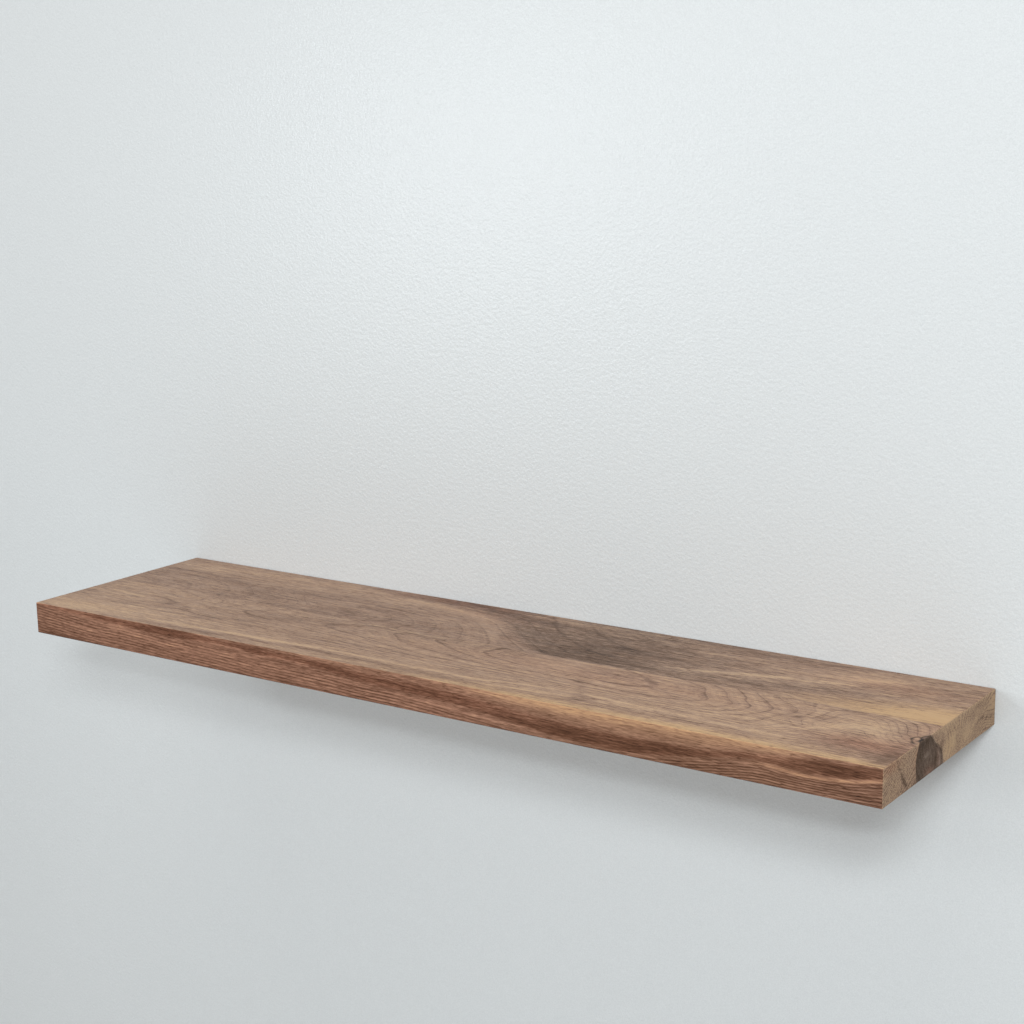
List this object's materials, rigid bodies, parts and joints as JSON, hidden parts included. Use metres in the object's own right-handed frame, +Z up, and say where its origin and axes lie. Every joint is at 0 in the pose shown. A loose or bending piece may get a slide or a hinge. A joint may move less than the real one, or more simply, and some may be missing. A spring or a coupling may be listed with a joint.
{
  "type": "floating wall shelf",
  "caption": "Thick solid walnut board with eased edges that slides onto a hidden steel rod bracket screwed to a wall.",
  "frame": {"origin": "on the wall plane, at the middle of the board's back face and of its height and length", "axes": "+X along the shelf to the right as seen from the room, +Y into the wall, +Z up"},
  "size_m": [1.2192, 0.3746, 0.042],
  "materials": {
    "walnut": "satin oil",
    "beech": "raw, pressed",
    "bare_steel": "cold rolled, lightly oiled, with weld tint",
    "zinc_plate": "yellow zinc plate",
    "brass": "bright turned",
    "black_steel": "black oxide"
  },
  "bodies": {
    "bracket": {"wall_bar": "bare_steel", "support_rod_1": "bare_steel", "support_rod_2": "bare_steel", "support_rod_3": "bare_steel", "support_rod_4": "bare_steel", "support_rod_5": "bare_steel", "support_rod_6": "bare_steel", "wall_screw_1": "zinc_plate", "wall_screw_2": "zinc_plate", "wall_screw_3": "zinc_plate", "wall_screw_4": "zinc_plate", "wall_screw_5": "zinc_plate", "wall_screw_6": "zinc_plate"},
    "shelf": {"front_stave": "walnut", "rear_stave": "walnut", "biscuit_1": "beech", "biscuit_2": "beech", "biscuit_3": "beech", "biscuit_4": "beech", "biscuit_5": "beech", "lock_insert_1": "brass", "lock_insert_2": "brass", "lock_screw_1": "black_steel", "lock_screw_2": "black_steel"}
  },
  "joints": [
    {"name": "shelf_slide", "type": "slide", "parent": "bracket", "child": "shelf", "axis": [0, -1, 0], "range_m": [0, 0.21555]}
  ]
}
